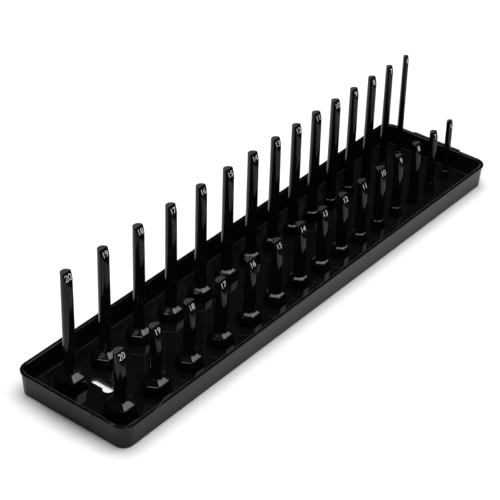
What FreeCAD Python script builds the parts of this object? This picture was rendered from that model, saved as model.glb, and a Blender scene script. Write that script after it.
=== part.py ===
"""Socket organizer tray for a tool drawer.

A shallow open tray carries two rows of fifteen pegs. The rear row is tall, for deep sockets,
and the front row is short, for shallow sockets. Each peg is a round post that rises from a
hexagonal seat, and the seat fills the hexagonal mouth of the socket that stands on it. The
foot of the seat is hexagonal too, so that it keys into a blind pocket in the tray's floor
and keeps the slanted number flat turned to the front.

X runs along the tray from the 20 mm lane to the 6 mm lane, Y from the short row to the
tall row, and Z up from the surface that the tray stands on. Millimetres and degrees.
"""
import FreeCAD
import Part
import math
import os
import Sketcher

os.makedirs("parts", exist_ok=True)
doc = FreeCAD.newDocument("SocketOrganizer")

# ---------------------------------------------------------------- driving dimensions

SIZE_WORDS = {
    20: "Twenty", 19: "Nineteen", 18: "Eighteen", 17: "Seventeen", 16: "Sixteen",
    15: "Fifteen", 14: "Fourteen", 13: "Thirteen", 12: "Twelve", 11: "Eleven",
    10: "Ten", 9: "Nine", 8: "Eight", 7: "Seven", 6: "Six",
}

DIMENSIONS = [
    ("Length over the end walls, at the rim", "trayLength", 395.0),
    ("Width over the side walls, at the rim", "trayWidth", 90.4),
    ("Height of the rim", "trayHeight", 17.0),
    ("Corner radius at the rim, outside", "cornerRadius", 9.0),
    ("How far each wall leans in at its foot, outside", "wallLean", 1.35),
    ("Wall thickness at the rim", "wallThickness", 2.0),
    ("How far each wall leans in at the floor, inside", "cavityLean", 0.9),
    ("Floor thickness", "floorThickness", 2.2),
    ("Rounding between floor and walls", "floorFillet", 1.2),
    ("Rounding of the rim's inner edge", "rimFillet", 0.45),
    ("How far the rim's flange stands out all round", "flangeReach", 0.5),
    ("Depth of the flange below the rim", "flangeDepth", 0.8),
    ("Bevel of the tray's lower outside edge", "footBevel", 0.5),
    ("Width of the lifting lip at each end", "lipWidth", 40.0),
    ("How far the lifting lip stands out from the end wall", "lipReach", 2.0),
    ("How far the lifting lip is rooted in the end wall", "lipRoot", 3.0),
    ("Depth of the lifting lip below the rim", "lipDepth", 1.1),
    ("Hang hole: middle of the straight slot, along X", "slotCentre", -160.0),
    ("Hang hole: round end of the slot, behind the tray's middle", "slotEnd", 16.0),
    ("Hang hole: width of the slot", "slotWidth", 5.0),
    ("Hang hole: diameter of the round head", "headDiameter", 7.3),
    ("Hang hole: head's middle, nearer to the end wall than the slot", "headShift", 0.9),
    ("Hang hole: head's middle, behind the tray's middle", "headSetback", 1.6),
    ("Distance of each row from the middle of the tray", "rowOffset", 20.8),
    ("Height of the tall pegs above the ground", "deepTop", 88.8),
    ("Height of the short pegs above the ground", "shallowTop", 51.1),
    ("Play of a seat's foot in its socket, across flats", "seatPlay", 0.5),
    ("Shoulder of a seat, as a share of the socket size", "shoulderShare", 0.86),
    ("Slope of the facets above the shoulder", "facetSlope", 43.0),
    ("Hexagon where the facets end, as a share of the post", "crownShare", 0.8),
    ("Bevel of a seat's shoulder, as a share of the socket size", "ridgeShare", 0.012),
    ("Depth of the foot pockets in the floor", "pocketDepth", 1.0),
    ("Lean of the number flat from upright", "flatLean", 22.0),
    ("Number flat's top edge, in front of the post's axis", "flatOffset", 0.2),
]

# Middle of each lane along X. The lanes narrow with the outside diameter of the sockets.
LANES = {
    20: -174.0, 19: -141.8, 18: -109.8, 17: -79.1, 16: -49.6, 15: -22.3, 14: 3.3, 13: 27.6,
    12: 50.4, 11: 72.6, 10: 94.6, 9: 116.3, 8: 137.9, 7: 159.1, 6: 179.6,
}

# Height of a seat's shoulder above the floor. The widest seats stand higher than the rest.
COMMON_SHOULDER = 7.4
HIGH_SHOULDERS = {20: 9.1, 19: 7.9, 18: 7.5}

# Diameters of the tall posts at the foot and at the top: they taper as they leave the mould.
TALL_POSTS = {
    "deepThick": (7.65, 7.2), "deepMedium": (7.1, 6.5), "deepSlim": (6.35, 5.75),
    "deepThin": (5.35, 4.8), "deepFine": (4.25, 3.65),
}

# Diameters of the short posts, which are straight.
SHORT_POSTS = {
    "shallowThick": 7.8, "shallowMedium": 7.25, "shallowSlim": 6.45, "shallowThin": 5.5,
    "shallowFine": 4.3,
}

sheet = doc.addObject("Spreadsheet::Sheet", "Dimensions")
next_row = 1


def add_dimension(meaning, alias, value):
    """One row of the sheet: what the number means, the number, and its alias."""
    global next_row
    sheet.set(f"A{next_row}", meaning)
    sheet.set(f"B{next_row}", str(value))
    sheet.setAlias(f"B{next_row}", alias)
    next_row += 1


for meaning, alias, value in DIMENSIONS:
    add_dimension(meaning, alias, value)
for size, word in SIZE_WORDS.items():
    add_dimension(f"Socket size of the {size} lane", f"size{word}", size)
    add_dimension(f"Middle of the {size} lane along X", f"lane{word}", LANES[size])
    add_dimension(f"Shoulder of the {size} seats above the floor", f"shoulder{word}",
                  HIGH_SHOULDERS.get(size, COMMON_SHOULDER))
for name, (foot, top) in TALL_POSTS.items():
    add_dimension(f"Post diameter at the foot, {name}", f"{name}Foot", foot)
    add_dimension(f"Post diameter at the top, {name}", f"{name}Top", top)
for name, diameter in SHORT_POSTS.items():
    add_dimension(f"Post diameter, {name}", f"{name}Post", diameter)
doc.recompute()


def cell(alias):
    """The name that an expression uses for a cell."""
    return f"Dimensions.{alias}"


# ---------------------------------------------------------------- helpers

# How far an edge may lie from the level that it is looked for at.
MARGIN = 0.01


def body_plane(body, role):
    """One of the body's own origin planes."""
    return next(plane for plane in body.Origin.OriginFeatures if plane.Role == role)


def new_sketch(body, name, height="0"):
    """A sketch parallel to the body's ground plane, at a height given by an expression."""
    sketch = body.newObject("Sketcher::SketchObject", name)
    sketch.AttachmentSupport = [(body_plane(body, "XY_Plane"), "")]
    sketch.MapMode = "FlatFace"
    sketch.setExpression("AttachmentOffset.Base.z", height)
    return sketch


def drive(sketch, constraint, expression):
    """Adds a constraint and binds its value to an expression."""
    index = sketch.addConstraint(constraint)
    sketch.setExpression(f"Constraints[{index}]", expression)


def rounded_rectangle(sketch, length, width, radius):
    """A rectangle with round corners, centred on the origin and driven by expressions.

    It starts as the outline of the walls at the rim, and the expressions then move it.
    """
    half_x, half_y = sheet.get("trayLength") / 2, sheet.get("trayWidth") / 2
    bend = sheet.get("cornerRadius")
    corners = [(1, 1), (-1, 1), (-1, -1), (1, -1)]
    arcs = []
    for number, (sign_x, sign_y) in enumerate(corners):
        centre = FreeCAD.Vector(sign_x * (half_x - bend), sign_y * (half_y - bend), 0)
        circle = Part.Circle(centre, FreeCAD.Vector(0, 0, 1), bend)
        start = number * math.pi / 2
        arcs.append(sketch.addGeometry(Part.ArcOfCircle(circle, start, start + math.pi / 2)))
    sides = []
    for number, arc in enumerate(arcs):
        following = arcs[(number + 1) % 4]
        start = sketch.getPoint(arc, 2)
        end = sketch.getPoint(following, 1)
        sides.append(sketch.addGeometry(Part.LineSegment(start, end)))
    for number, side in enumerate(sides):
        sketch.addConstraint(Sketcher.Constraint("Tangent", arcs[number], 2, side, 1))
        sketch.addConstraint(Sketcher.Constraint("Tangent", side, 2, arcs[(number + 1) % 4], 1))
        direction = "Horizontal" if number % 2 == 0 else "Vertical"
        sketch.addConstraint(Sketcher.Constraint(direction, side))
    for arc in arcs[1:]:
        sketch.addConstraint(Sketcher.Constraint("Equal", arcs[0], arc))
    # The middles of opposite sides are symmetric about the sketch's axes.
    sketch.addConstraint(Sketcher.Constraint("Symmetric", arcs[0], 3, arcs[2], 3, -1, 1))
    drive(sketch, Sketcher.Constraint("DistanceX", arcs[1], 3, arcs[0], 3, 2 * (half_x - bend)),
          f"{length} - 2 * ({radius})")
    drive(sketch, Sketcher.Constraint("DistanceY", arcs[3], 3, arcs[0], 3, 2 * (half_y - bend)),
          f"{width} - 2 * ({radius})")
    drive(sketch, Sketcher.Constraint("Radius", arcs[0], bend), radius)


def edges_where(shape, test):
    """The names of the edges whose bounding box passes the test."""
    return [f"Edge{number}" for number, edge in enumerate(shape.Edges, 1) if test(edge.BoundBox)]


# ---------------------------------------------------------------- tray


def make_tray_pan():
    """The moulded pan: leaning walls, rim flange, lifting lips, hang hole and eased edges."""
    length, width = cell("trayLength"), cell("trayWidth")
    height, radius = cell("trayHeight"), cell("cornerRadius")
    lean, wall = cell("wallLean"), cell("wallThickness")
    body = doc.addObject("PartDesign::Body", "trayPan")

    foot_outline = new_sketch(body, "footOutline")
    rounded_rectangle(foot_outline, f"{length} - 2 * {lean}", f"{width} - 2 * {lean}",
                      f"{radius} - {lean}")
    rim_outline = new_sketch(body, "rimOutline", height)
    rounded_rectangle(rim_outline, length, width, radius)
    shell = body.newObject("PartDesign::AdditiveLoft", "outerForm")
    shell.Profile = foot_outline
    shell.Sections = [rim_outline]
    shell.Ruled = True

    # A narrow flange runs round the rim.
    reach = cell("flangeReach")
    flange_outline = new_sketch(body, "flangeOutline", height)
    rounded_rectangle(flange_outline, f"{length} + 2 * {reach}", f"{width} + 2 * {reach}",
                      f"{radius} + {reach}")
    flange = body.newObject("PartDesign::Pad", "rimFlange")
    flange.Profile = flange_outline
    flange.Reversed = True
    flange.setExpression("Length", cell("flangeDepth"))

    # The lip at one end hangs from the rim plane; the other end is its mirror image.
    lip_sketch = new_sketch(body, "lipOutline", height)
    tip = sheet.get("trayLength") / 2 + sheet.get("lipReach")
    root = sheet.get("trayLength") / 2 - sheet.get("lipRoot")
    half = sheet.get("lipWidth") / 2
    ring = [(root, -half), (tip, -half), (tip, half), (root, half)]
    points = [FreeCAD.Vector(x, y, 0) for x, y in ring]
    lines = [lip_sketch.addGeometry(Part.LineSegment(points[i], points[(i + 1) % 4]))
             for i in range(4)]
    for number in range(4):
        lip_sketch.addConstraint(
            Sketcher.Constraint("Coincident", lines[number], 2, lines[(number + 1) % 4], 1))
    for direction, line in (("Horizontal", 0), ("Horizontal", 2), ("Vertical", 3)):
        lip_sketch.addConstraint(Sketcher.Constraint(direction, lines[line]))
    lip_sketch.addConstraint(Sketcher.Constraint("Symmetric", lines[1], 1, lines[1], 2, -1))
    drive(lip_sketch, Sketcher.Constraint("DistanceY", lines[1], 1, lines[1], 2, 2 * half),
          cell("lipWidth"))
    drive(lip_sketch, Sketcher.Constraint("DistanceX", lines[0], 1, lines[0], 2, tip - root),
          f"{cell('lipRoot')} + {cell('lipReach')}")
    drive(lip_sketch, Sketcher.Constraint("DistanceX", -1, 1, lines[0], 2, tip),
          f"{length} / 2 + {cell('lipReach')}")
    lip = body.newObject("PartDesign::Pad", "liftingLip")
    lip.Profile = lip_sketch
    lip.Reversed = True
    lip.setExpression("Length", cell("lipDepth"))
    doc.recompute()
    both_lips = body.newObject("PartDesign::Mirrored", "bothLips")
    both_lips.Originals = [lip]
    both_lips.MirrorPlane = (body_plane(body, "YZ_Plane"), [""])
    body.Tip = both_lips
    doc.recompute()

    # The cavity narrows towards the floor, as the mould's core does.
    floor_outline = new_sketch(body, "floorOutline", cell("floorThickness"))
    inside = f"2 * ({wall} + {cell('cavityLean')})"
    rounded_rectangle(floor_outline, f"{length} - {inside}", f"{width} - {inside}",
                      f"{radius} - {wall} - {cell('cavityLean')}")
    mouth_outline = new_sketch(body, "mouthOutline", height)
    rounded_rectangle(mouth_outline, f"{length} - 2 * {wall}", f"{width} - 2 * {wall}",
                      f"{radius} - {wall}")
    cavity = body.newObject("PartDesign::SubtractiveLoft", "cavity")
    cavity.Profile = floor_outline
    cavity.Sections = [mouth_outline]
    cavity.Ruled = True
    doc.recompute()

    round_tray_edges(body, make_hang_hole(body))
    return body


def make_hang_hole(body):
    """A keyhole through the floor: a slot across the tray that ends in a round head."""
    centre_x = sheet.get("slotCentre")
    half_width = sheet.get("slotWidth") / 2
    far_end = sheet.get("slotEnd") - half_width
    setback = sheet.get("headSetback")
    up = FreeCAD.Vector(0, 0, 1)

    slot_sketch = new_sketch(body, "slotOutline")
    ends = []
    for level, start in ((far_end, 0), (setback, math.pi)):
        circle = Part.Circle(FreeCAD.Vector(centre_x, level, 0), up, half_width)
        ends.append(slot_sketch.addGeometry(Part.ArcOfCircle(circle, start, start + math.pi)))
    for first, second in (ends, reversed(ends)):
        start, end = slot_sketch.getPoint(first, 2), slot_sketch.getPoint(second, 1)
        side = slot_sketch.addGeometry(Part.LineSegment(start, end))
        slot_sketch.addConstraint(Sketcher.Constraint("Tangent", first, 2, side, 1))
        slot_sketch.addConstraint(Sketcher.Constraint("Tangent", side, 2, second, 1))
    slot_sketch.addConstraint(Sketcher.Constraint("Equal", ends[0], ends[1]))
    slot_sketch.addConstraint(Sketcher.Constraint("Vertical", ends[0], 3, ends[1], 3))
    drive(slot_sketch, Sketcher.Constraint("Radius", ends[0], half_width),
          f"{cell('slotWidth')} / 2")
    drive(slot_sketch, Sketcher.Constraint("DistanceY", -1, 1, ends[0], 3, far_end),
          f"{cell('slotEnd')} - {cell('slotWidth')} / 2")
    drive(slot_sketch, Sketcher.Constraint("DistanceY", -1, 1, ends[1], 3, setback),
          cell("headSetback"))
    drive(slot_sketch, Sketcher.Constraint("DistanceX", ends[0], 3, -1, 1, -centre_x),
          f"-{cell('slotCentre')}")

    head_x = centre_x - sheet.get("headShift")
    head_radius = sheet.get("headDiameter") / 2
    head_sketch = new_sketch(body, "headOutline")
    head_circle = Part.Circle(FreeCAD.Vector(head_x, setback, 0), up, head_radius)
    head = head_sketch.addGeometry(head_circle)
    drive(head_sketch, Sketcher.Constraint("Radius", head, head_radius),
          f"{cell('headDiameter')} / 2")
    drive(head_sketch, Sketcher.Constraint("DistanceX", head, 3, -1, 1, -head_x),
          f"{cell('headShift')} - {cell('slotCentre')}")
    drive(head_sketch, Sketcher.Constraint("DistanceY", -1, 1, head, 3, setback),
          cell("headSetback"))

    for name, sketch in (("hangSlot", slot_sketch), ("hangHead", head_sketch)):
        doc.recompute()
        before = body.Shape.Volume
        cut = body.newObject("PartDesign::Pocket", name)
        cut.Profile = sketch
        cut.Reversed = True
        cut.setExpression("Length", f"{cell('floorThickness')} * 2")
        doc.recompute()
        if body.Shape.Volume >= before:
            raise RuntimeError(f"{name} cuts nothing")
    return cut


def round_tray_edges(body, base):
    """Rounds the floor corner and the rim's inner edge, and bevels the lower outside edge."""
    rim = sheet.get("trayHeight")
    floor = sheet.get("floorThickness")
    wall = sheet.get("wallThickness")
    half_length, half_width = sheet.get("trayLength") / 2, sheet.get("trayWidth") / 2
    wall_zone = sheet.get("cornerRadius") + wall

    def at_height(box, level):
        return abs(box.ZMin - level) < MARGIN and abs(box.ZMax - level) < MARGIN

    def reach_x(box):
        return max(abs(box.XMin), abs(box.XMax))

    def reach_y(box):
        return max(abs(box.YMin), abs(box.YMax))

    def by_the_walls(box):
        return reach_x(box) > half_length - wall_zone or reach_y(box) > half_width - wall_zone

    floor_edges = edges_where(base.Shape, lambda b: at_height(b, floor) and by_the_walls(b))
    corner = body.newObject("PartDesign::Fillet", "floorCorner")
    corner.Base = (base, floor_edges)
    corner.setExpression("Radius", cell("floorFillet"))
    doc.recompute()

    rim_edges = edges_where(
        corner.Shape,
        lambda b: at_height(b, rim) and reach_x(b) < half_length - wall + MARGIN
        and reach_y(b) < half_width - wall + MARGIN)
    rim_rounding = body.newObject("PartDesign::Fillet", "rimRounding")
    rim_rounding.Base = (corner, rim_edges)
    rim_rounding.setExpression("Radius", cell("rimFillet"))
    doc.recompute()

    foot_edges = edges_where(rim_rounding.Shape, lambda b: at_height(b, 0) and by_the_walls(b))
    foot = body.newObject("PartDesign::Chamfer", "footBevel")
    foot.Base = (rim_rounding, foot_edges)
    foot.setExpression("Size", cell("footBevel"))
    doc.recompute()
    body.Tip = foot


# ---------------------------------------------------------------- pegs


def post_group(size):
    """The word for how thick the post of a socket size is."""
    if size >= 14:
        return "Thick"
    if size >= 10:
        return "Medium"
    return {9: "Slim", 8: "Slim", 7: "Thin", 6: "Fine"}[size]


def place(feature, size, row_sign, height):
    """Puts a feature on its lane and row, at a height given by an expression."""
    feature.setExpression("Placement.Base.x", cell(f"lane{SIZE_WORDS[size]}"))
    feature.setExpression("Placement.Base.y", f"{row_sign} * {cell('rowOffset')}")
    feature.setExpression("Placement.Base.z", height)


def make_seat(body, name, size, post_foot):
    """The hexagonal seat: keyed foot, leaning sides, sloping facets and an eased shoulder.

    Heights count from the underside of the foot. Returns the height where the facets end.
    """
    across_foot = f"({cell('size' + SIZE_WORDS[size])} - {cell('seatPlay')})"
    across_shoulder = f"({cell('shoulderShare')} * {cell('size' + SIZE_WORDS[size])})"
    across_crown = f"({cell('crownShare')} * {post_foot})"
    shoulder = f"({cell('pocketDepth')} + {cell('shoulder' + SIZE_WORDS[size])})"
    rise = f"(({across_shoulder} - {across_crown}) / 2 * tan({cell('facetSlope')}))"
    lean = f"atan(({across_foot} - {across_shoulder}) / 2 / {shoulder})"

    block = body.newObject("PartDesign::AdditivePrism", f"{name}_block")
    block.Polygon = 6
    block.setExpression("Circumradius", f"{across_foot} / sqrt(3)")
    block.setExpression("Height", f"{shoulder} + {rise}")
    doc.recompute()
    height = block.Height.Value
    sides, bottom = [], []
    for number, face in enumerate(block.Shape.Faces, 1):
        if face.BoundBox.ZLength > height / 2:
            sides.append(f"Face{number}")
        elif face.BoundBox.ZMax < height / 2:
            bottom.append(f"Face{number}")

    leaning = body.newObject("PartDesign::Draft", f"{name}_leaningSides")
    leaning.Base = (block, sides)
    leaning.NeutralPlane = (block, bottom)
    leaning.setExpression("Angle", lean)
    doc.recompute()

    # Each facet takes the whole rise from the side and the rest of the width from the top.
    facets = body.newObject("PartDesign::Chamfer", f"{name}_facets")
    facets.Base = (leaning, edges_where(leaning.Shape, lambda b: b.ZMin > height / 2))
    facets.ChamferType = "Two distances"
    facets.setExpression("Size", f"{rise} / cos({lean})")
    facets.setExpression(
        "Size2", f"({across_foot} - {across_crown}) / 2 - ({shoulder} + {rise}) * tan({lean})")
    doc.recompute()

    level = sheet.get("pocketDepth") + sheet.get("shoulder" + SIZE_WORDS[size])
    ridge = edges_where(
        facets.Shape, lambda b: abs(b.ZMin - level) < MARGIN and abs(b.ZMax - level) < MARGIN)
    if len(ridge) != 6:
        raise RuntimeError(f"{name} has no shoulder at its height")
    eased = body.newObject("PartDesign::Chamfer", f"{name}_easedShoulder")
    eased.Base = (facets, ridge)
    eased.setExpression("Size", f"{cell('ridgeShare')} * {cell('size' + SIZE_WORDS[size])}")
    doc.recompute()
    return f"({shoulder} + {rise})"


def make_short_post(body, name, diameter, top):
    """The straight round post of a short peg."""
    post = body.newObject("PartDesign::AdditiveCylinder", f"{name}_post")
    post.AttachmentSupport = [(body_plane(body, "XY_Plane"), "")]
    post.MapMode = "FlatFace"
    post.setExpression("AttachmentOffset.Base.z", cell("pocketDepth"))
    post.setExpression("Radius", f"{diameter} / 2")
    post.setExpression("Height", f"{top} - {cell('pocketDepth')}")
    doc.recompute()


def make_tall_post(body, name, group, crown, top):
    """The round post: straight through the seat and behind the number flat, tapered between.

    Its outline starts roughly in shape, and the expressions then move it.
    """
    foot_radius, top_radius = f"{cell(group + 'Foot')} / 2", f"{cell(group + 'Top')} / 2"
    flat_drop = f"({top_radius} - {cell('flatOffset')}) / tan({cell('flatLean')})"
    profile = body.newObject("Sketcher::SketchObject", f"{name}_profile")
    profile.AttachmentSupport = [(body_plane(body, "XZ_Plane"), "")]
    profile.MapMode = "FlatFace"
    wide, narrow = sheet.get(f"{group}Foot") / 2, sheet.get(f"{group}Top") / 2
    low, high = sheet.get("pocketDepth"), sheet.get("deepTop")
    quarter = (high - low) / 4
    corners = [(0, low), (wide, low), (wide, low + quarter),
               (narrow, high - quarter), (narrow, high), (0, high)]
    points = [FreeCAD.Vector(x, y, 0) for x, y in corners]
    taper = Part.BSplineCurve()
    taper.buildFromPolesMultsKnots(points[2:4], [2, 2], [0, 1], False, 1)
    outline = [
        Part.LineSegment(points[0], points[1]), Part.LineSegment(points[1], points[2]), taper,
        Part.LineSegment(points[3], points[4]), Part.LineSegment(points[4], points[5]),
        Part.LineSegment(points[5], points[0]),
    ]
    bottom, foot, slope, head, lid, axis = [profile.addGeometry(curve) for curve in outline]
    around = [bottom, foot, slope, head, lid, axis]
    for first, second in zip(around, around[1:] + around[:1]):
        profile.addConstraint(Sketcher.Constraint("Coincident", first, 2, second, 1))
    for direction, line in (("Horizontal", bottom), ("Horizontal", lid),
                            ("Vertical", foot), ("Vertical", head)):
        profile.addConstraint(Sketcher.Constraint(direction, line))
    for point in (1, 2):
        profile.addConstraint(Sketcher.Constraint("PointOnObject", axis, point, -2))
    drive(profile, Sketcher.Constraint("DistanceX", bottom, 1, bottom, 2, wide), foot_radius)
    drive(profile, Sketcher.Constraint("DistanceX", lid, 2, lid, 1, narrow), top_radius)
    drive(profile, Sketcher.Constraint("DistanceY", -1, 1, bottom, 1, low), cell("pocketDepth"))
    drive(profile, Sketcher.Constraint("DistanceY", -1, 1, foot, 2, low + quarter), crown)
    drive(profile, Sketcher.Constraint("DistanceY", -1, 1, head, 1, high - quarter),
          f"{top} - {flat_drop} - {cell('flatOffset')}")
    drive(profile, Sketcher.Constraint("DistanceY", -1, 1, lid, 1, high), top)
    post = body.newObject("PartDesign::Revolution", f"{name}_post")
    post.Profile = profile
    post.ReferenceAxis = (profile, ["V_Axis"])
    post.Angle = 360
    doc.recompute()


def make_number_flat(body, name, diameter, top):
    """The flat that slants down the front of the post from its top edge.

    The cutting wedge starts a little above the top, as far as the flat is offset.
    """
    offset, slope = cell("flatOffset"), f"tan({cell('flatLean')})"
    drop = f"({diameter} / 2 / {slope} + {offset})"
    wedge = body.newObject("Sketcher::SketchObject", f"{name}_wedge")
    wedge.AttachmentSupport = [(body_plane(body, "YZ_Plane"), "")]
    wedge.MapMode = "FlatFace"
    box = body.Shape.BoundBox
    setback = sheet.get("flatOffset")
    radius = -box.YMin / 2
    start = box.ZMax - radius * 2
    points = [FreeCAD.Vector(x, y, 0)
              for x, y in ((-setback, box.ZMax), (-radius, start), (-radius, box.ZMax))]
    lean, front, over = [
        wedge.addGeometry(Part.LineSegment(points[i], points[(i + 1) % 3])) for i in range(3)]
    for first, second in ((lean, front), (front, over), (over, lean)):
        wedge.addConstraint(Sketcher.Constraint("Coincident", first, 2, second, 1))
    wedge.addConstraint(Sketcher.Constraint("Vertical", front))
    wedge.addConstraint(Sketcher.Constraint("Horizontal", over))
    drive(wedge, Sketcher.Constraint("DistanceX", lean, 1, -1, 1, setback),
          f"{offset} - {offset} * {slope}")
    drive(wedge, Sketcher.Constraint("DistanceY", -1, 1, lean, 1, box.ZMax), f"{top} + {offset}")
    drive(wedge, Sketcher.Constraint("DistanceX", lean, 2, -1, 1, radius),
          f"{offset} + {drop} * {slope}")
    drive(wedge, Sketcher.Constraint("DistanceY", -1, 1, lean, 2, start), f"{top} - {drop}")
    doc.recompute()
    before = body.Shape.Volume
    flat = body.newObject("PartDesign::Pocket", f"{name}_numberFlat")
    flat.Profile = wedge
    flat.Midplane = True
    flat.setExpression("Length", f"{diameter} * 2")
    doc.recompute()
    if body.Shape.Volume >= before:
        raise RuntimeError(f"{name} has no number flat")
    body.Tip = flat


def make_peg(name, size, row):
    """One peg: a round post on its hexagonal seat, with the slanted number flat."""
    foot_level = f"{cell('floorThickness')} - {cell('pocketDepth')}"
    top = f"({cell(row + 'Top')} - ({foot_level}))"
    group = f"{row}{post_group(size)}"
    body = doc.addObject("PartDesign::Body", name)
    if row == "deep":
        head_diameter = cell(f"{group}Top")
        crown = make_seat(body, name, size, cell(f"{group}Foot"))
        make_tall_post(body, name, group, crown, top)
    else:
        head_diameter = cell(f"{group}Post")
        make_seat(body, name, size, head_diameter)
        make_short_post(body, name, head_diameter, top)
    make_number_flat(body, name, head_diameter, top)
    place(body, size, 1 if row == "deep" else -1, foot_level)
    return body


def make_foot_pockets():
    """The blind hexagonal pockets that take the feet of all the pegs."""
    pockets = []
    for row, row_sign in (("deep", 1), ("shallow", -1)):
        for size, word in SIZE_WORDS.items():
            pocket = doc.addObject("Part::Prism", f"{row}Pocket{word}")
            pocket.Polygon = 6
            pocket.setExpression(
                "Circumradius", f"({cell('size' + word)} - {cell('seatPlay')}) / sqrt(3)")
            pocket.setExpression("Height", f"{cell('pocketDepth')} * 2")
            place(pocket, size, row_sign, f"{cell('floorThickness')} - {cell('pocketDepth')}")
            pockets.append(pocket)
    every_pocket = doc.addObject("Part::MultiFuse", "footPockets")
    every_pocket.Shapes = pockets
    return every_pocket


# ---------------------------------------------------------------- assembly

tray = doc.addObject("Part::Cut", "tray")
tray.Base = make_tray_pan()
tray.Tool = make_foot_pockets()
tray.Label = "tray"

nodes = [tray]
for size in SIZE_WORDS:
    nodes.append(make_peg(f"deep_peg_{size:02d}", size, "deep"))
for size in SIZE_WORDS:
    nodes.append(make_peg(f"shallow_peg_{size:02d}", size, "shallow"))
doc.recompute()

for item in doc.Objects:
    if "Invalid" in item.State or "Error" in item.State:
        raise RuntimeError(f"{item.Name} did not compute: {item.State}")
for node in nodes:
    if node.Shape.isNull() or not node.Shape.isValid() or len(node.Shape.Solids) != 1:
        raise RuntimeError(f"{node.Label} is not one valid solid")
for node in nodes:
    node.Shape.exportStep(os.path.join("parts", f"{node.Label}.step"))
print(f"{len(nodes)} nodes written")
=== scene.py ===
"""Socket organizer tray: a gloss black moulded tray with two rows of numbered pegs."""

import math

import bmesh
import bpy
from mathutils import Matrix, Vector


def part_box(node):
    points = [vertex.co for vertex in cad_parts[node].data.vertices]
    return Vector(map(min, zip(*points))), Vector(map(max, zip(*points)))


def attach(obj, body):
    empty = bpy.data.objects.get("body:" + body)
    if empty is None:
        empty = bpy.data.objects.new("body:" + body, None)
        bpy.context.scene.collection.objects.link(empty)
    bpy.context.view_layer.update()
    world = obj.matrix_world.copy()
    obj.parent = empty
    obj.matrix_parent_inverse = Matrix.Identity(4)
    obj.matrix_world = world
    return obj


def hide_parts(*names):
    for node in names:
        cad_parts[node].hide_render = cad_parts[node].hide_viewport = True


# Lengths are in metres, as in the frame, except where a name ends in MM.
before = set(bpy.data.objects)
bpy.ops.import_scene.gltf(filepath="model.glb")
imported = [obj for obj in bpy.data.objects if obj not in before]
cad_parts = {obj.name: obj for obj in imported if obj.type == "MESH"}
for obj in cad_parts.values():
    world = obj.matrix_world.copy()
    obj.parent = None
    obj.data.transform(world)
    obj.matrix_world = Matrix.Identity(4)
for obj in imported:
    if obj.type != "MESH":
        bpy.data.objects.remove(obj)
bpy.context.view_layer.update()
peg_nodes = [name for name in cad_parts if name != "tray"]

# ---------------------------------------------------------------- tray
# The tray is one injection moulding in black ABS with walls 2 mm thick, a keyhole to hang it
# by and a thin lip at each end to lift it by. The mould's cavity was polished to a mirror, so
# the walls and the floor come out with a deep gloss and only the eroded faces are satin.

POLISHED_ROUGHNESS = (0.05, 0.10)
ERODED_ROUGHNESS = (0.36, 0.46)
DULL_ROUGHNESS = 0.8
USUAL_SHINE = 0.5
DULL_SHINE = 0.2
ABS_REFRACTIVE_INDEX = 1.46

TRAY_SWELL_MM = 9.0
HAZE_MM = 14
PIT_MM = 0.9
SWELL_DEPTH = 0.0002
SWELL_STRENGTH = 0.06
PIT_DEPTH = 0.00006

# How far a face looks up is the upward part of its normal: 1 is level and 0 is upright.
LEVEL = 0.97
ROUNDING_MIDDLE = 0.62
ROUNDING_SPREAD = 0.36
# Rounded edges that lean away from the near left corner get the painted rim highlight.
AWAY_FROM_NEAR_LEFT = (0.55, 0.83, 0)
LEANS_AWAY = 0.1

CORNER_TOP = 0.0036
LIP_START = 0.1982
RIM_START = 0.0165


def linear(hex_colour):
    """An sRGB hex colour as linear red, green, blue and alpha."""
    channels = [int(hex_colour[i:i + 2], 16) / 255 for i in (1, 3, 5)]
    bent = [c / 12.92 if c <= 0.04045 else ((c + 0.055) / 1.055) ** 2.4 for c in channels]
    return (*bent, 1.0)


def add_node(material, kind, settings=(), links=()):
    """Adds a shader node, sets its properties and inputs, and links its inputs."""
    node = material.node_tree.nodes.new(kind)
    for name, value in dict(settings).items():
        if isinstance(name, int) or name in node.inputs:
            node.inputs[name].default_value = value
        else:
            setattr(node, name, value)
    for name, source in dict(links).items():
        material.node_tree.links.new(source, node.inputs[name])
    return node


def new_material(name):
    """An empty node material and its Principled shader."""
    material = bpy.data.materials.new(name)
    material.use_nodes = True
    return material, material.node_tree.nodes["Principled BSDF"]


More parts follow.
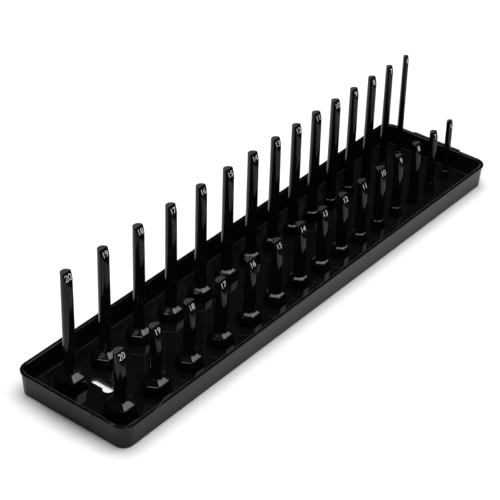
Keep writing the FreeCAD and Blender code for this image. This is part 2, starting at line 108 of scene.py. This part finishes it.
def gloss_abs(name, swell_mm, satin_tops=1.0, satin_ends=1.0, painted_highlight_above=1.0):
    """Black ABS from a polished mould: a mirror-like skin with soft, slow waves in it.

    Level faces are satin from the mould's spark erosion where they lie above satin_tops, or
    further out along the tray than satin_ends. Above the given rim height, the rounded edges
    that lean away from the near left corner are painted pale grey: a painted highlight that
    stands for the light line these edges mirror.
    """
    material, plastic = new_material(name)
    geometry = add_node(material, "ShaderNodeNewGeometry")
    place = geometry.outputs["Position"]
    normal = geometry.outputs["Normal"]

    # The skin sinks a little as it cools, the haze is the polish's, the pits are the erosion's.
    swell = add_node(material, "ShaderNodeTexNoise", {"Scale": 1000 / swell_mm, "Detail": 1.0},
                     {"Vector": place})
    haze = add_node(material, "ShaderNodeTexNoise", {"Scale": 1000 / HAZE_MM, "Detail": 3.0},
                    {"Vector": place})
    pits = add_node(material, "ShaderNodeTexNoise", {"Scale": 1000 / PIT_MM, "Detail": 4.0},
                    {"Vector": place})

    # Satin faces are level and lie high enough or far enough out.
    spot = add_node(material, "ShaderNodeSeparateXYZ", {}, {"Vector": place})
    facing = add_node(material, "ShaderNodeSeparateXYZ", {}, {"Vector": normal})
    upward = add_node(material, "ShaderNodeMath", {"operation": "GREATER_THAN", 1: LEVEL},
                      {0: facing.outputs["Z"]})
    high = add_node(material, "ShaderNodeMath", {"operation": "GREATER_THAN", 1: satin_tops},
                    {0: spot.outputs["Z"]})
    out = add_node(material, "ShaderNodeMath", {"operation": "ABSOLUTE"}, {0: spot.outputs["X"]})
    outside = add_node(material, "ShaderNodeMath", {"operation": "GREATER_THAN", 1: satin_ends},
                       {0: out.outputs["Value"]})
    either = add_node(material, "ShaderNodeMath", {"operation": "MAXIMUM"},
                      {0: high.outputs["Value"], 1: outside.outputs["Value"]})
    tops = add_node(material, "ShaderNodeMath", {"operation": "MULTIPLY"},
                    {0: either.outputs["Value"], 1: upward.outputs["Value"]})

    # Mask of the painted highlight: rounded, neither level nor upright, leaning the right way.
    rounding = add_node(material, "ShaderNodeMath",
                        {"operation": "COMPARE", 1: ROUNDING_MIDDLE, 2: ROUNDING_SPREAD},
                        {0: facing.outputs["Z"]})
    at_rim = add_node(material, "ShaderNodeMath", {"operation": "GREATER_THAN", 1: painted_highlight_above},
                      {0: spot.outputs["Z"]})
    leaning = add_node(material, "ShaderNodeVectorMath",
                       {"operation": "DOT_PRODUCT", 1: AWAY_FROM_NEAR_LEFT}, {0: normal})
    away = add_node(material, "ShaderNodeMath", {"operation": "GREATER_THAN", 1: LEANS_AWAY},
                    {0: leaning.outputs["Value"]})
    rounded_rim = add_node(material, "ShaderNodeMath", {"operation": "MULTIPLY"},
                           {0: rounding.outputs["Value"], 1: at_rim.outputs["Value"]})
    edge = add_node(material, "ShaderNodeMath", {"operation": "MULTIPLY"},
                    {0: rounded_rim.outputs["Value"], 1: away.outputs["Value"]})
    satin = add_node(material, "ShaderNodeMath", {"operation": "MAXIMUM"},
                     {0: tops.outputs["Value"], 1: edge.outputs["Value"]})

    # The mould's inner corners can't be reached with a polishing stick, so they stay dull.
    low = add_node(material, "ShaderNodeMath", {"operation": "LESS_THAN", 1: CORNER_TOP},
                   {0: spot.outputs["Z"]})
    corner = add_node(material, "ShaderNodeMath", {"operation": "MULTIPLY"},
                      {0: rounding.outputs["Value"], 1: low.outputs["Value"]})

    # Roughness: hazy polish, satin where the mould was eroded, dull in the inner corners.
    polished = add_node(material, "ShaderNodeMapRange",
                        {"From Min": 0.3, "From Max": 0.7, "To Min": POLISHED_ROUGHNESS[0],
                         "To Max": POLISHED_ROUGHNESS[1]}, {"Value": haze.outputs["Fac"]})
    eroded = add_node(material, "ShaderNodeMapRange",
                      {"From Min": 0.35, "From Max": 0.65, "To Min": ERODED_ROUGHNESS[0],
                       "To Max": ERODED_ROUGHNESS[1]}, {"Value": pits.outputs["Fac"]})
    rough = add_node(material, "ShaderNodeMix", {},
                     {"Factor": satin.outputs["Value"], "A": polished.outputs["Result"],
                      "B": eroded.outputs["Result"]})
    dulled = add_node(material, "ShaderNodeMix", {"B": DULL_ROUGHNESS},
                      {"Factor": corner.outputs["Value"], "A": rough.outputs["Result"]})
    shine = add_node(material, "ShaderNodeMapRange",
                     {"To Min": USUAL_SHINE, "To Max": DULL_SHINE},
                     {"Value": corner.outputs["Value"]})

    # Colour: soot black that is a touch greyer where the haze is thick, and a painted highlight.
    black = add_node(material, "ShaderNodeMix",
                     {"data_type": "RGBA", "A": linear("#080809"), "B": linear("#0f0f10")},
                     {"Factor": haze.outputs["Fac"]})
    # The pale grey on the rim's rounded edges is a painted highlight, the light line they mirror.
    painted_rim_highlight = add_node(material, "ShaderNodeMix", {"data_type": "RGBA", "B": linear("#525253")},
                      {"Factor": edge.outputs["Value"], "A": black.outputs["Result"]})

    # Relief: the slow swell everywhere, and the pits on satin faces only.
    skin = add_node(material, "ShaderNodeBump",
                    {"Strength": SWELL_STRENGTH, "Distance": SWELL_DEPTH},
                    {"Height": swell.outputs["Fac"]})
    grain = add_node(material, "ShaderNodeBump", {"Distance": PIT_DEPTH},
                     {"Height": pits.outputs["Fac"], "Strength": satin.outputs["Value"],
                      "Normal": skin.outputs["Normal"]})
    link = material.node_tree.links.new
    link(painted_rim_highlight.outputs["Result"], plastic.inputs["Base Color"])
    link(dulled.outputs["Result"], plastic.inputs["Roughness"])
    link(shine.outputs["Result"], plastic.inputs["Specular IOR Level"])
    link(grain.outputs["Normal"], plastic.inputs["Normal"])
    plastic.inputs["IOR"].default_value = ABS_REFRACTIVE_INDEX
    return material


# The tray's large faces show the moulding's swell as slightly wavering reflections.
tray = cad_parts["tray"]
tray.data.materials.clear()
# Above RIM_START the rim's rounded edges carry the painted highlight in pale grey.
tray.data.materials.append(gloss_abs("polished_ABS_tray", TRAY_SWELL_MM,
                                     satin_ends=LIP_START, painted_highlight_above=RIM_START))

# ---------------------------------------------------------------- pegs
# Each peg is moulded in the same black ABS. A round post rises from a hexagonal seat whose
# sloping facets centre the socket's mouth, and every ridge of the seat is rounded where the
# mould's cavity was cut with a ball-nosed cutter. The number flat is plane and left crisp.

# The seat: play in the socket's mouth, shoulder as a share of the socket size, facets.
TRAY_FLOOR = 0.0022
SEAT_PLAY = 0.0005
SHOULDER_SHARE = 0.86
COMMON_SHOULDER = 0.0074
HIGH_SHOULDERS = {20: 0.0091, 19: 0.0079, 18: 0.0075}
FACET_SLOPE = math.radians(35)
RIDGE_SHARE = 0.26
SHOULDER_RADIUS = 0.0016
LARGEST_ROLL_SHARE = 0.25

# The post: diameters at the foot and the top of the tall ones, by the least size they serve,
# the short ones' single diameter, and the number flat.
TALL_DIAMETERS = {14: (0.0080, 0.0075), 10: (0.0076, 0.0070), 8: (0.0068, 0.0062),
                  7: (0.0058, 0.0052), 6: (0.0047, 0.0041)}
SHORT_DIAMETERS = {14: 0.0081, 10: 0.0076, 8: 0.0068, 7: 0.0058, 6: 0.0046}
FLAT_LEAN = math.radians(22)
FLAT_SETBACK = 0.0002
EASED_EDGE = 0.00016
EASED_FROM = math.radians(24)

# The mesh: columns in degrees from a corner of the hexagon, and rows as shares of the way up.
COLUMNS_FROM_CORNER = (0, 1.6, 3.2, 5, 7, 10, 14, 19, 24.5)
SHOULDER_ROWS = 6
FACET_ROWS = (0.25, 0.5, 0.75, 1.0)
POST_ROWS = (0.12, 0.35, 0.65, 1.0)
HAIR = 1e-6
FAN_DEPTH = 0.001

PEG_SWELL_MM = 6.0
SATIN_TOPS = 0.0505


def by_size(table, size):
    """The row of a table whose key is the largest that isn't above the socket size."""
    return table[max(key for key in table if key <= size)]


def hexagon_radius(turn, apothem, ridge):
    """How far out a hexagon with rounded corners lies at an angle from one of its corners."""
    from_corner = abs((turn + math.pi / 6) % (math.pi / 3) - math.pi / 6)
    middle = (apothem - ridge) / math.cos(math.pi / 6)
    if from_corner < math.pi / 6 - math.atan(middle / 2 / apothem):
        across = middle * math.sin(from_corner)
        return middle * math.cos(from_corner) + math.sqrt(ridge ** 2 - across ** 2)
    return apothem / math.cos(math.pi / 6 - from_corner)


def apothem_at_post(turn, post_radius, ridge):
    """The hexagon, by its apothem, whose outline crosses the post's at this angle."""
    from_corner = abs((turn + math.pi / 6) % (math.pi / 3) - math.pi / 6)
    across = post_radius * math.sin(from_corner)
    if across < ridge:
        middle = post_radius * math.cos(from_corner) - math.sqrt(ridge ** 2 - across ** 2)
        apothem = middle * math.cos(math.pi / 6) + ridge
        if from_corner < math.pi / 6 - math.atan(middle / 2 / apothem):
            return apothem
    return post_radius * math.cos(math.pi / 6 - from_corner)


def column_turns(top_radius):
    """Where the columns stand: close at the ridges, and one at each end of the flat's edge."""
    flat_end = math.asin(FLAT_SETBACK / top_radius)
    turns = {-flat_end, math.pi + flat_end}
    for corner in range(6):
        turns.add(math.radians(60 * corner + 30))
        for step in COLUMNS_FROM_CORNER:
            turns.add(math.radians(60 * corner + step))
            turns.add(math.radians(60 * corner - step))
    return sorted({round(turn % (2 * math.pi), 6) for turn in turns})


def shoulder_arc(foot, shoulder, shoulder_z, bottom):
    """Apothem and height of the rows where the leaning side rolls over into the facet."""
    lean = math.atan((foot - shoulder) / (shoulder_z - bottom))
    bend = math.pi / 2 - FACET_SLOPE - lean
    rolled = min(SHOULDER_RADIUS, shoulder * LARGEST_ROLL_SHARE)
    reach = rolled * math.tan(bend / 2)
    hub = shoulder + reach * math.sin(lean) - rolled * math.cos(lean)
    hub_z = shoulder_z - reach * math.cos(lean) - rolled * math.sin(lean)
    tilts = [lean + bend * row / (SHOULDER_ROWS - 1) for row in range(SHOULDER_ROWS)]
    return [(hub + rolled * math.cos(tilt), hub_z + rolled * math.sin(tilt)) for tilt in tilts]


def peg_mesh(name, size, centre, bottom, top, foot_radius, top_radius):
    """One peg as columns of points round its axis, from the foot to the top or the flat."""
    foot = (size / 1000 - SEAT_PLAY) / 2
    shoulder = SHOULDER_SHARE * size / 1000 / 2
    shoulder_z = TRAY_FLOOR + HIGH_SHOULDERS.get(size, COMMON_SHOULDER)
    ridge = RIDGE_SHARE * shoulder
    arc = shoulder_arc(foot, shoulder, shoulder_z, bottom)

    mesh = bmesh.new()
    columns = []
    for turn in column_turns(top_radius):
        rows = [(hexagon_radius(turn, apothem, ridge), z) for apothem, z in [(foot, bottom), *arc]]
        meet = apothem_at_post(turn, foot_radius, RIDGE_SHARE * foot_radius)
        meet_z = shoulder_z + (shoulder - meet) * math.tan(FACET_SLOPE)
        start, start_z = rows[-1]
        for step in FACET_ROWS:
            rows.append((start + (foot_radius - start) * step, start_z + (meet_z - start_z) * step))
        in_front = -FLAT_SETBACK - top_radius * math.sin(turn)
        end_z = top - max(0, in_front) / math.tan(FLAT_LEAN)
        for step in POST_ROWS:
            rows.append((foot_radius + (top_radius - foot_radius) * step,
                         meet_z + (end_z - meet_z) * step))
        columns.append([mesh.verts.new((centre.x + radius * math.cos(turn),
                                        centre.y + radius * math.sin(turn), z))
                        for radius, z in rows])
    for here, following in zip(columns, columns[1:] + columns[:1]):
        for row in range(len(here) - 1):
            mesh.faces.new((here[row], following[row], following[row + 1], here[row + 1]))

    # The underside, the level part of the top and the number flat close the peg. The level
    # part's points are put in order round a point just in front of its straight edge.
    mesh.faces.new([column[0] for column in reversed(columns)])
    ends = [column[-1] for column in columns]
    edge_y = centre.y - FLAT_SETBACK
    level_part = [vert for vert in ends if vert.co.y > edge_y - HAIR]
    flat_part = [vert for vert in ends if vert.co.y < edge_y + HAIR]
    fan_y = centre.y - FAN_DEPTH
    mesh.faces.new(sorted(level_part, key=lambda vert: math.atan2(vert.co.y - fan_y,
                                                                  vert.co.x - centre.x)))
    mesh.faces.new(sorted(flat_part, key=lambda vert: vert.co.x))
    bmesh.ops.recalc_face_normals(mesh, faces=mesh.faces)
    for face in mesh.faces:
        face.smooth = True
    data = bpy.data.meshes.new(name)
    mesh.to_mesh(data)
    mesh.free()
    return data


# The pegs' swell has shorter waves than the tray's. The posts' level tops are satin, because
# the blind end of each post's bore in the mould was spark eroded.
peg_plastic = gloss_abs("polished_ABS_peg", PEG_SWELL_MM, satin_tops=SATIN_TOPS)
for node_name in peg_nodes:
    size = int(node_name[-2:])
    low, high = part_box(node_name)
    axis = Vector(((low.x + high.x) / 2, (low.y + high.y) / 2, 0))
    if node_name.startswith("deep"):
        foot_width, top_width = by_size(TALL_DIAMETERS, size)
    else:
        foot_width = top_width = by_size(SHORT_DIAMETERS, size)
    piece_name = node_name.replace("_peg", "_post")
    peg = bpy.data.objects.new(
        piece_name, peg_mesh(piece_name, size, axis, low.z, high.z, foot_width / 2, top_width / 2))
    bpy.context.scene.collection.objects.link(peg)
    peg.data.materials.append(peg_plastic)
    edge = peg.modifiers.new("eased_edges", "BEVEL")
    edge.width = EASED_EDGE
    edge.segments = 2
    edge.limit_method = "ANGLE"
    edge.angle_limit = EASED_FROM
    edge.use_clamp_overlap = True
    shading = peg.modifiers.new("even_shading", "WEIGHTED_NORMAL")
    shading.keep_sharp = True
    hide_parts(node_name)
    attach(peg, "root")

# ---------------------------------------------------------------- printed numbers
# The socket sizes in millimetres are screen printed in white ink on the flats of the posts.
# The ink lies as a film a few hundredths of a millimetre thick with slightly soft corners.

NUMBER_DROP = 0.0039
NUMBER_HEIGHT = 0.0055
LARGEST_NUMBER_HEIGHT = 0.0060
DIGIT_SPACING = 0.95
STROKE_TRIM = 0.00004
HALF_INK = 0.00003
INK_CLOUD_MM = 0.4
DRIED_ROUGHNESS = (0.38, 0.55)

# Printed ink dries satin and a little thin in places, so the white isn't quite even.
ink, ink_shader = new_material("screen_ink_white")
ink_place = add_node(ink, "ShaderNodeNewGeometry").outputs["Position"]
cover = add_node(ink, "ShaderNodeTexNoise", {"Scale": 1000 / INK_CLOUD_MM, "Detail": 3.0},
                 {"Vector": ink_place})
ink_tint = add_node(ink, "ShaderNodeMix",
                    {"data_type": "RGBA", "A": linear("#e6e6e2"), "B": linear("#f8f8f5")},
                    {"Factor": cover.outputs["Fac"]})
dried = add_node(ink, "ShaderNodeMapRange",
                 {"To Min": DRIED_ROUGHNESS[0], "To Max": DRIED_ROUGHNESS[1]},
                 {"Value": cover.outputs["Fac"]})
ink.node_tree.links.new(ink_tint.outputs["Result"], ink_shader.inputs["Base Color"])
ink.node_tree.links.new(dried.outputs["Result"], ink_shader.inputs["Roughness"])

# Each number stands in the middle of its flat, a little below the flat's top edge.
flat_right = Vector((1, 0, 0))
flat_up = Vector((0, math.sin(FLAT_LEAN), math.cos(FLAT_LEAN)))
flat_out = flat_right.cross(flat_up)
flat_turn = Matrix((flat_right, flat_up, flat_out)).transposed().to_4x4()
for node_name in peg_nodes:
    size = str(int(node_name[-2:]))
    low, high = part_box(node_name)
    curve = bpy.data.curves.new(node_name + "_number", "FONT")
    curve.body = size
    curve.align_x = "CENTER"
    curve.align_y = "CENTER"
    curve.size = LARGEST_NUMBER_HEIGHT if size == "20" else NUMBER_HEIGHT
    curve.extrude = HALF_INK
    curve.offset = -STROKE_TRIM
    curve.space_character = DIGIT_SPACING
    number = bpy.data.objects.new(node_name + "_number", curve)
    bpy.context.scene.collection.objects.link(number)
    top_edge = Vector(((low.x + high.x) / 2, (low.y + high.y) / 2 - FLAT_SETBACK, high.z))
    centre = top_edge - flat_up * NUMBER_DROP + flat_out * HALF_INK
    number.matrix_world = Matrix.Translation(centre) @ flat_turn
    curve.materials.append(ink)
    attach(number, "root")

# ---------------------------------------------------------------- floor and light
# The tray stands on a wide sheet of matt white studio paper with a lit backdrop behind it, and
# both are white to the eye. Two large softboxes and two strips light it. Besides them, the gloss
# mirrors the paper round the tray and a dark room.

PAPER_TO_THE_EYE = 0.98
LIT_PAPER = 0.62
PAPER_IN_THE_DARK = 0.03
LIT_MIDDLE = (0.22, 0.16, 0)
LIT_SQUEEZE = (1, 1.6, 0)
LIT_TO = 0.35
DARK_FROM = 0.80
BACKDROP_FROM = 0.45
BACKDROP_FULL = 1.3
BACKDROP_GLOW = 0.9
PAPER_ROUGHNESS = 0.9
PAPER_RADIUS = 12
PAPER_DEPTH = 0.00005
DARK_ROOM = 0.015

paper, paper_shader = new_material("white_studio_paper")
paper_place = add_node(paper, "ShaderNodeNewGeometry").outputs["Position"]
# To all but the camera the paper darkens away from the tray, as if the lamps reached no further.
drawn_out = add_node(paper, "ShaderNodeVectorMath", {"operation": "MULTIPLY", 1: LIT_SQUEEZE},
                     {0: paper_place})
distance = add_node(paper, "ShaderNodeVectorMath", {"operation": "DISTANCE", 1: LIT_MIDDLE},
                    {0: drawn_out.outputs["Vector"]})
falloff = add_node(paper, "ShaderNodeMapRange",
                   {"interpolation_type": "SMOOTHSTEP", "From Min": LIT_TO, "From Max": DARK_FROM,
                    "To Min": LIT_PAPER, "To Max": PAPER_IN_THE_DARK},
                   {"Value": distance.outputs["Value"]})
seen = add_node(paper, "ShaderNodeLightPath")
level = add_node(paper, "ShaderNodeMix", {"B": PAPER_TO_THE_EYE},
                 {"Factor": seen.outputs["Is Camera Ray"], "A": falloff.outputs["Result"]})
white = level.outputs["Result"]
grey = add_node(paper, "ShaderNodeCombineColor", {}, {"Red": white, "Green": white, "Blue": white})
paper.node_tree.links.new(grey.outputs["Color"], paper_shader.inputs["Base Color"])

# Well away from the tray, the backdrop's own light takes over, and only the camera sees it.
far = add_node(paper, "ShaderNodeVectorMath", {"operation": "LENGTH"}, {0: paper_place})
sweep = add_node(paper, "ShaderNodeMapRange",
                 {"interpolation_type": "SMOOTHSTEP", "From Min": BACKDROP_FROM,
                  "From Max": BACKDROP_FULL, "To Min": 0.0, "To Max": BACKDROP_GLOW},
                 {"Value": far.outputs["Value"]})
seen_sweep = add_node(paper, "ShaderNodeMath", {"operation": "MULTIPLY"},
                      {0: sweep.outputs["Result"], 1: seen.outputs["Is Camera Ray"]})
paper_shader.inputs["Emission Color"].default_value = (1, 1, 1, 1)
paper.node_tree.links.new(seen_sweep.outputs["Value"], paper_shader.inputs["Emission Strength"])
paper_shader.inputs["Roughness"].default_value = PAPER_ROUGHNESS
paper_shader.inputs["Specular IOR Level"].default_value = 0.0
bpy.ops.mesh.primitive_circle_add(vertices=128, radius=PAPER_RADIUS, fill_type="NGON",
                                  location=(0, 0, -PAPER_DEPTH))
floor = bpy.context.object
floor.name = "studio_floor"
floor.data.materials.append(paper)

world = bpy.data.worlds.new("studio_room")
bpy.context.scene.world = world
world.use_nodes = True
sky = world.node_tree.nodes["Background"]
sky.inputs["Color"].default_value = (1, 1, 1, 1)
room_seen = add_node(world, "ShaderNodeLightPath")
room_level = add_node(world, "ShaderNodeMix", {"A": DARK_ROOM, "B": 1.0},
                      {"Factor": room_seen.outputs["Is Camera Ray"]})
world.node_tree.links.new(room_level.outputs["Result"], sky.inputs["Strength"])


def softbox(name, middle, facing, width, height, radiance):
    """A softbox that the tray sees in the direction of facing, with its surface's radiance."""
    lamp = bpy.data.lights.new(name, "AREA")
    lamp.shape = "RECTANGLE"
    lamp.size = width
    lamp.size_y = height
    lamp.energy = radiance * math.pi * width * height
    box = bpy.data.objects.new(name, lamp)
    bpy.context.scene.collection.objects.link(box)
    turn = Vector(facing).to_track_quat("Z", "Y").to_matrix().to_4x4()
    box.matrix_world = Matrix.Translation(middle) @ turn
    box.visible_camera = False


# The right box is what the seats' front facets mirror, and its lower edge lies just above what
# the floor mirrors by way of the rear wall. The top box lights the paper and, past the first
# lanes, the seats' left facets. The left strip draws a thin line on the shoulders, and the rear
# strip picks out the satin tops of the posts and the tray's rim.
softbox("right_softbox", (2.00, -1.40, 3.05), (0, -1, 0.6), 2.6, 1.05, 3.6)
softbox("top_softbox", (0.1745, 0.125, 1.50), (0, 0, 1), 1.461, 1.65, 3.9)
softbox("left_strip", (-1.455, -0.257, 0.28), (-0.97, -0.17, 0.17), 0.6, 0.42, 9)
softbox("rear_strip", (1.45, 1.25, 0.36), (0.75, 0.65, 0.15), 1.8, 0.5, 2.5)

# ---------------------------------------------------------------- camera
# A camera with a long lens looks down on the tray from beyond its near left corner, so that
# the rows run away to the upper right and every number can be read.

CAMERA_PLACE = Vector((-0.7881, -0.5905, 0.7023))
CAMERA_AIM = Vector((0.01662, 0.03145, 0))
CAMERA_ROLL = math.radians(1.712)
FOCAL_PIXELS = 1789.4
FRAME_PIXELS = 500
SENSOR_MM = 36

level_turn = (CAMERA_AIM - CAMERA_PLACE).to_track_quat("-Z", "Y").to_matrix().to_4x4()
turn = level_turn @ Matrix.Rotation(CAMERA_ROLL, 4, "Z")
camera = bpy.data.objects.new("camera", bpy.data.cameras.new("camera"))
bpy.context.scene.collection.objects.link(camera)
camera.matrix_world = Matrix.Translation(CAMERA_PLACE) @ turn
camera.data.sensor_width = SENSOR_MM
camera.data.lens = FOCAL_PIXELS / FRAME_PIXELS * SENSOR_MM
bpy.context.scene.camera = camera
bpy.context.scene.view_settings.view_transform = "Standard"
